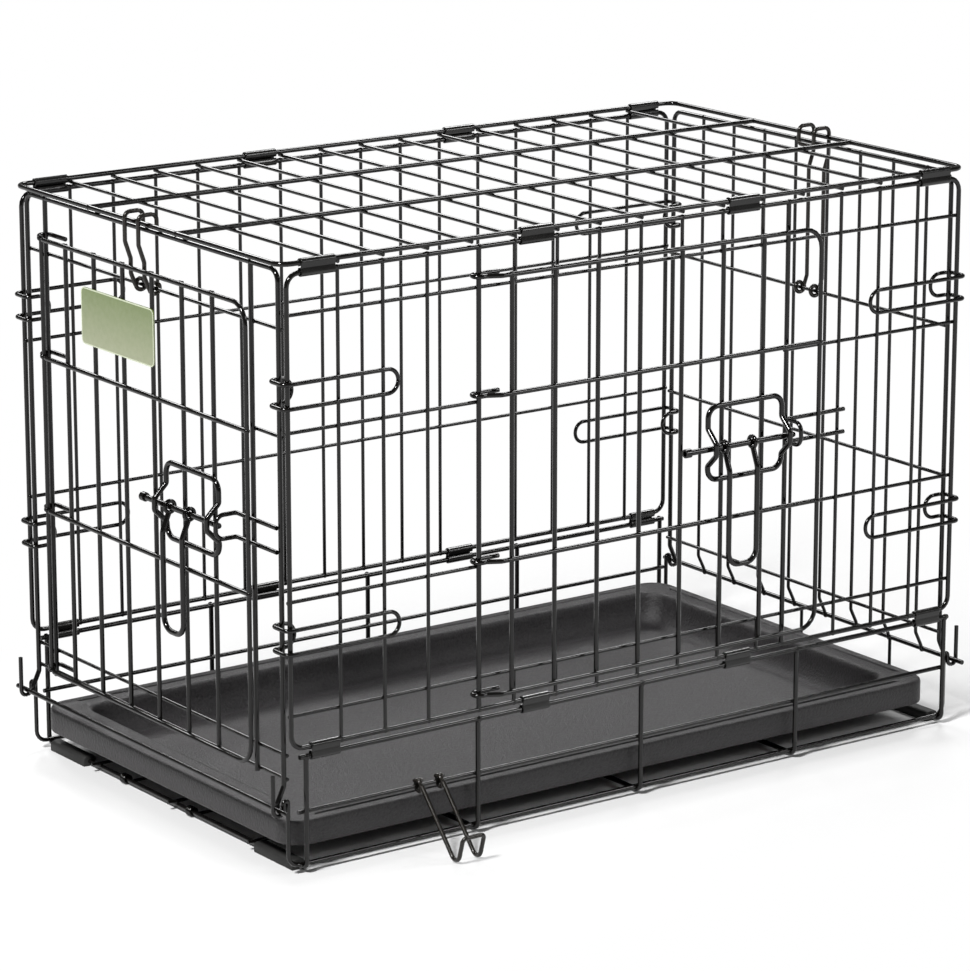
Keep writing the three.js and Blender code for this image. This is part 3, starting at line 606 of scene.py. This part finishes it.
for level in ("top", "base"):
    for row in ("front", "back"):
        for number in (1, 2, 3, 4):
            rolled_clip(f"rolled_clip_{level}_{row}_{number}", f"hinge_clip_{level}_{row}_{number}")

# ---------------------------------------------------------------------------------------
# Corner hooks: closed loops of 2.8 mm wire, flat along the outside of a side panel and bent
# round the end panel's post to a short return inside.

HOOK_WIRE, HOOK_OUT, HOOK_IN, HOOK_TIP, HOOK_HALF = 1.4, 3.9, 13.5, -5.2, 8.0
HOOK_LONG, HOOK_SHORT = 82, 12
for row in ("front", "back"):
    for end in ("left", "right"):
        for height, up in (("upper", 320), ("lower", 159)):
            corners = [(HOOK_LONG, -HOOK_OUT, -HOOK_HALF), (HOOK_LONG, -HOOK_OUT, HOOK_HALF),
                       (HOOK_TIP, -HOOK_OUT, HOOK_HALF), (HOOK_TIP, HOOK_IN, HOOK_HALF),
                       (HOOK_SHORT, HOOK_IN, HOOK_HALF), (HOOK_SHORT, HOOK_IN, -HOOK_HALF),
                       (HOOK_TIP, HOOK_IN, -HOOK_HALF), (HOOK_TIP, -HOOK_OUT, -HOOK_HALF)]
            placed = [at(LENGTH - x if end == "right" else x, DEPTH - y if row == "back" else y,
                         up + z) for x, y, z in corners]
            radii = [8, 8, 4.5, 4.5, 8, 8, 4.5, 4.5]
            wire_piece(f"hook_loop_{row}_{end}_{height}",
                       [(bend(placed, [r * 0.995 for r in radii], True), HOOK_WIRE, True)],
                       enamel, "crate", [f"corner_hook_{row}_{end}_{height}"],
                       8)

# ---------------------------------------------------------------------------------------
# Doors: an outline wire and two cross wires, whose ends are bent round the hinge post as
# open hooks, over seven upright wires. The outline's free corners are round.

DOOR_OUT, LOOP, TAIL, DOOR_CORNER = 6.4, 4.4, 19.0, 14
door_face = DOOR_OUT + SINK * 2 * DOOR_WIRE


def front_at(u, out, up):
    """A place on the front door, from its hinge post."""
    return at(HINGE_ALONG + u, -out, up)


def left_at(u, out, up):
    """A place on the end door, from its hinge post."""
    return at(-END_OUT - out, LEFT_HINGE_BACK - u, up)


def hinge_hook(spot, up):
    """The end of a door wire, bent round the hinge post."""
    return [spot(12, door_face, up), spot(3.2, LOOP, up), spot(-LOOP, LOOP, up),
            spot(-LOOP, -LOOP, up), spot(TAIL, -LOOP, up)]


def wire_door(name, spot, edge, uprights, low, top, rails, body, node):
    """Draws a door from its hinge post out to its free edge."""
    hook_bends = [4, 4, LOOP, LOOP, 0]
    outline = (hinge_hook(spot, top)[::-1]
               + [spot(edge, door_face, top), spot(edge, door_face, low)] + hinge_hook(spot, low))
    bends = hook_bends[::-1] + [DOOR_CORNER, DOOR_CORNER] + hook_bends
    runs = [(bend(outline, [r * 0.99 for r in bends]), DOOR_WIRE, False)]
    beads = []
    for up in rails:
        runs.append((bend([spot(edge, door_face, up)] + hinge_hook(spot, up),
                          [0] + [r * 0.99 for r in hook_bends]), DOOR_WIRE, False))
        beads.append((spot(edge, door_face, up), (2.2, 2.2, 2.0)))
    for u in uprights:
        runs.append((straight(spot(u, DOOR_OUT, low - 1), spot(u, DOOR_OUT, top + 1)),
                     DOOR_WIRE, False))
        for up in [low, top, *rails]:
            beads.append((spot(u, (DOOR_OUT + door_face) / 2, up), (1.9, 1.9, 1.9)))
    wire_piece(name + "_wires", runs, enamel, body, [node])
    weld_beads(name + "_welds", beads, enamel, body)


wire_door("front_door", front_at, edge=280, uprights=[22, 57, 92, 127, 162, 197, 232], low=97,
          top=379, rails=[188, 300], body="front_door", node="front_door")
wire_door("end_door", left_at, edge=264, uprights=[5, 37, 73.8, 110.6, 147.4, 184.2, 221], low=69,
          top=374, rails=[184, 292], body="left_door", node="left_door")

# ---------------------------------------------------------------------------------------
# Latches: a bolt slides in the bowed sides of a wire guide on the door and enters a wire
# keeper on the panel. A long wire handle turns on the bolt by two eyes and hangs down.

BOLT_OUT, KEEPER_OUT, HANDLE_OUT, BOW_OUT = 15.1, 3.98, 20.95, 20.0
KEEPER_WIRE, LATCH_WIRE, BOLT_WIRE, COLLAR = 1.5, 1.9, 2.0, 3.1
KEEPER_BOW, KEEPER_HALF, GUIDE_UP, GUIDE_DOWN, HANDLE_DROP = 19.6, 8, 28, -23, -82
EYE_WIRE, EYE_ROUND = 1.4, 0.0038
guide_out = DOOR_OUT + (DOOR_WIRE + LATCH_WIRE) * 1.149 + 0.3
for side, spot, shift, up, keeper_end in (("front", front_at, 0, 240, 307),
                                          ("left", left_at, -14, 225, 290)):
    u = 256 + shift
    corners = [(keeper_end, KEEPER_OUT, KEEPER_HALF), (u, KEEPER_OUT, KEEPER_HALF),
               (u, KEEPER_BOW, KEEPER_HALF), (u, KEEPER_BOW, -KEEPER_HALF),
               (u, KEEPER_OUT, -KEEPER_HALF), (keeper_end, KEEPER_OUT, -KEEPER_HALF)]
    wire_piece(f"{side}_keeper_loop",
               [(bend([spot(a, b, up + c) for a, b, c in corners], [0, 2, 6, 6, 2, 0]),
                 KEEPER_WIRE, False)],
               enamel, "crate" if side == "front" else "left_end", [f"{side}_keeper"],
               8)

    bow = [(guide_out, 13), (BOW_OUT, 4), (BOW_OUT, -4), (guide_out, -13)]
    right, left = 246 + shift, 182 + shift
    corners = ([(left, guide_out, GUIDE_UP), (right, guide_out, GUIDE_UP)]
               + [(right, b, c) for b, c in bow]
               + [(right, guide_out, GUIDE_DOWN), (left, guide_out, GUIDE_DOWN)]
               + [(left, b, c) for b, c in bow[::-1]])
    door_body = side + "_door"
    wire_piece(f"{side}_guide_frame",
               [(bend([spot(a, b, up + c) for a, b, c in corners],
                      [8, 8, 3, 3, 3, 3, 8, 8, 3, 3, 3, 3], True), LATCH_WIRE, True)],
               enamel, door_body, [f"{side}_latch_guide"], 8)

    start, stop = 159 + shift, 253.6 + shift
    wire_piece(f"{side}_bolt_rod",
               [(straight(spot(start, BOLT_OUT, up), spot(stop - 0.9, BOLT_OUT, up)),
                 BOLT_WIRE, False),
                (straight(spot(stop - 0.95, BOLT_OUT, up), spot(stop, BOLT_OUT, up)),
                 0.8 * BOLT_WIRE, False),
                (straight(spot(start, BOLT_OUT, up), spot(start + 4.4, BOLT_OUT, up)),
                 COLLAR, False)],
               enamel, f"{side}_bolt", [f"{side}_bolt"], 3, 6)

    first, last = 193 + shift, 217 + shift
    corners = [(first, BOLT_OUT + 1, -4.2), (first, HANDLE_OUT, -16),
               (first, HANDLE_OUT, HANDLE_DROP), (last, HANDLE_OUT, HANDLE_DROP),
               (last, HANDLE_OUT, -16), (last, BOLT_OUT + 1, -4.2)]
    axis = spot(1, 0, 0) - spot(0, 0, 0)
    runs = [(bend([spot(a, b, up + c) for a, b, c in corners], [0, 8, 8.9, 8.9, 8, 0]),
             LATCH_WIRE, False)]
    for eye_u in (first, last):
        runs.append((ring_round(spot(eye_u, BOLT_OUT, up), axis, EYE_ROUND), EYE_WIRE, False))
    wire_piece(f"{side}_handle_loop", runs, enamel, f"{side}_handle", [f"{side}_handle"],
               8)

# ---------------------------------------------------------------------------------------
# Tag: a thin card in a clear sleeve, wired flat on the end door. Plain sage green, a little
# paler towards its foot, with a pale line round the edge.

low, high = (Vector(corner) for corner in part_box("label_tag"))
tag_card, place, plug, relief = finish("green_tag", Coat_Weight=0.6, Coat_Roughness=0.08,
                                       Specular_IOR_Level=0.5)
split = place.node("ShaderNodeSeparateXYZ", None, {"Vector": place}, 2)
falling = (split - low.z) * (1 / (high.z - low.z))
print_grain = place.noise(300, 3)
pale_sage, sage = (0.25, 0.27, 0.165), (0.09, 0.135, 0.022)
plug(Base_Color=(0.85 * falling + 0.3 * print_grain - 0.1).tint(pale_sage, sage),
     Roughness=0.3 + 0.15 * print_grain)
relief(place.noise(60, 2), 0.25, 0.35)
tag_border, place, plug, relief = finish("tag_border", Coat_Weight=0.6, Coat_Roughness=0.08)
plug(Base_Color=place.noise(300, 3).tint((0.42, 0.46, 0.32), (0.50, 0.54, 0.40)),
     Roughness=0.3 + 0.15 * place.noise(200, 2))
TAG_CORNER, TAG_BORDER = 0.004, 0.0009
mesh = bmesh.new()
card = bmesh.ops.create_cube(mesh, size=1)
bmesh.ops.scale(mesh, vec=high - low, verts=card["verts"])
bmesh.ops.translate(mesh, vec=(high + low) / 2, verts=card["verts"])
short = [e for e in mesh.edges if abs(e.verts[0].co.x - e.verts[1].co.x) > 0.0005]
bmesh.ops.bevel(mesh, geom=short, offset=TAG_CORNER, segments=6, profile=0.5, affect="EDGES",
                material=-1)
outer = min(mesh.faces, key=lambda f: f.calc_center_median().x)
ring = bmesh.ops.inset_region(mesh, faces=[outer], thickness=TAG_BORDER, depth=0)["faces"]
for face in ring:
    face.material_index = 1
piece = skin("card_tag", mesh, tag_card, "left_door", ["label_tag"], smooth=False)
piece.data.materials.append(tag_border)

# ---------------------------------------------------------------------------------------
# Spring clips: bright-edged spring wire bent to an M, with an eye at each foot. Two lock the
# end panels to the roof; the third hangs on the base and lies on the floor in front.

spring_steel, place, plug, relief = finish("spring_steel", Coat_Weight=0.15)
drawn = place.noise(420, 3, 0.6)
plug(Base_Color=drawn.tint((0.004, 0.0035, 0.003), (0.035, 0.031, 0.026)),
     Roughness=0.16 + 0.16 * drawn, Metallic=0.35 + 0.3 * drawn)
relief(drawn, 0.05, 0.5)

CLIP_WIRE, EYE_TURNS, EYE_COIL = 1.5, 1.2, 0.0028


def spring_clip(name, legs, bends, eyes, axis, body, node):
    """A bent spring wire with an eye wound at each foot."""
    runs = [(bend(legs, bends), CLIP_WIRE, False)]
    for eye, radius in eyes:
        runs.append((ring_round(eye, axis, radius, EYE_TURNS, EYE_COIL), CLIP_WIRE, False))
    wire_piece(name, runs, spring_steel, body, [node], 8)


for side, eye_along, eye_up, backs in (("left", left_inner, 361, (161, 178)),
                                       ("right", -END_OUT + crossing, 291, (152, 169))):
    def across(along, back, up):
        """A place on this clip's end of the crate."""
        return at(LENGTH - along if side == "right" else along, back, up)
    profile = [(eye_along - 3.9, eye_up), (-END_OUT - 4.8, eye_up + 8),
               (-END_OUT - 4.8, END_TOP - 20.5), (ROOF_START - 5, END_TOP - 8.5),
               (ROOF_START - 5, ROOF + 6.1), (5.2 - END_OUT, ROOF + 6.1),
               (5.2 - END_OUT, SIDE_TOP - 0.5)]
    legs = ([across(x, backs[0], z) for x, z in profile]
            + [across(x, backs[1], z) for x, z in profile[::-1]])
    bends = [0, 4, 4, 4, 4.2, 4.2, 3]
    spring_clip(f"{side}_roof_spring", legs, bends + bends[::-1],
                [(across(eye_along, back, eye_up), 0.0036) for back in backs],
                Vector((0, 1, 0)), f"{side}_end", f"{side}_top_clip")

CARRY_ALONG = (101, 118)
profile = [(runner_in - 4.1, PAN_WIRE_UP), (-41.5, -2.8), (-48, 19)]
legs = ([at(CARRY_ALONG[0], y, z) for y, z in profile]
        + [at(CARRY_ALONG[1], y, z) for y, z in profile[::-1]])
spring_clip("carry_spring", legs, [0, 5, 3, 3, 5, 0],
            [(at(along, runner_in, PAN_WIRE_UP), EYE_ROUND) for along in CARRY_ALONG],
            Vector((1, 0, 0)), "transport_clip", "transport_clip")

# ---------------------------------------------------------------------------------------
# Studio: a white sweep under and behind the crate, four soft lights and a long lens.
# The sweep takes the crate's shadow close to it and is plain white further off.

paper = bpy.data.materials.new("white_sweep")
paper.use_nodes = True
tree = paper.node_tree
tree.nodes.clear()
rays = tree.nodes.new("ShaderNodeLightPath").outputs
start = Channel(tree, rays["Is Camera Ray"])
for kind in ("Is Glossy Ray", "Is Transmission Ray"):
    start = start.sum("MAXIMUM", start, Channel(tree, rays[kind]))
matt = start.node("ShaderNodeBsdfDiffuse", None, {"Color": (0.72, 0.72, 0.72, 1)})
glow = start.node("ShaderNodeEmission", None, {"Color": (1, 1, 1, 1), "Strength": 1.0})
spot_place = Channel(tree, tree.nodes.new("ShaderNodeTexCoord").outputs["Object"])
base_middle = at(LENGTH / 2, DEPTH / 2, 0)
spread = spot_place.node("ShaderNodeVectorMath", {"operation": "SUBTRACT"},
                         {0: spot_place, 1: base_middle})
spread = spread.node("ShaderNodeVectorMath", {"operation": "ABSOLUTE"}, {0: spread})
reach = [spread.node("ShaderNodeSeparateXYZ", None, {"Vector": spread}, axis) for axis in (0, 1)]
HALF_LENGTH, HALF_DEPTH = 0.29, 0.175
outside = start.sum("MAXIMUM", reach[0] * (1 / HALF_LENGTH), reach[1] * (1 / HALF_DEPTH))
whiteness = 0.5 * outside.band(0.95, 1.3) + 0.5 * outside.band(1.1, 2.2)
blend = start.node("ShaderNodeMixShader", None, {0: start * whiteness, 1: matt, 2: glow})
end = tree.nodes.new("ShaderNodeOutputMaterial")
tree.links.new(blend.socket, end.inputs["Surface"])
mesh = bmesh.new()
bmesh.ops.create_grid(mesh, x_segments=1, y_segments=1, size=14)
data = bpy.data.meshes.new("sweep")
mesh.to_mesh(data)
mesh.free()
sweep = bpy.data.objects.new("sweep", data)
bpy.context.collection.objects.link(sweep)
data.materials.append(paper)

world = bpy.data.worlds.new("studio")
bpy.context.scene.world = world
world.use_nodes = True
world.node_tree.nodes["Background"].inputs["Color"].default_value = (1, 1, 1, 1)
world.node_tree.nodes["Background"].inputs["Strength"].default_value = 0.14

middle = at(LENGTH / 2, DEPTH / 2, 200)
for name, offset, size, power in (("key", (-2.2, -0.8, 2.4), 0.6, 150),
                                  ("fill", (1.8, -2.4, 1.4), 0.7, 16),
                                  ("right_rim", (1.9, 1.5, 2.3), 0.95, 42),
                                  ("back_rim", (0.6, 2.5, 1.9), 1.0, 34)):
    lamp = bpy.data.lights.new(name, "AREA")
    lamp.shape, lamp.size, lamp.energy = "DISK", size, power
    light = bpy.data.objects.new(name, lamp)
    bpy.context.collection.objects.link(light)
    light.location = middle + Vector(offset)
    light.rotation_euler = (middle - light.location).to_track_quat("-Z", "Y").to_euler()

lens = bpy.data.cameras.new("long_lens")
lens.lens, lens.sensor_width, lens.clip_end = 163.8, 36, 100
camera = bpy.data.objects.new("long_lens", lens)
bpy.context.collection.objects.link(camera)
aim, turn, rise, away = at(271.5, 165, 185.3), math.radians(-35.69), math.radians(14.68), 3.094
camera.location = aim + away * Vector((math.sin(turn) * math.cos(rise),
                                       -math.cos(turn) * math.cos(rise), math.sin(rise)))
camera.rotation_euler = (aim - camera.location).to_track_quat("-Z", "Y").to_euler()
bpy.context.scene.camera = camera
bpy.context.scene.view_settings.view_transform = "Standard"
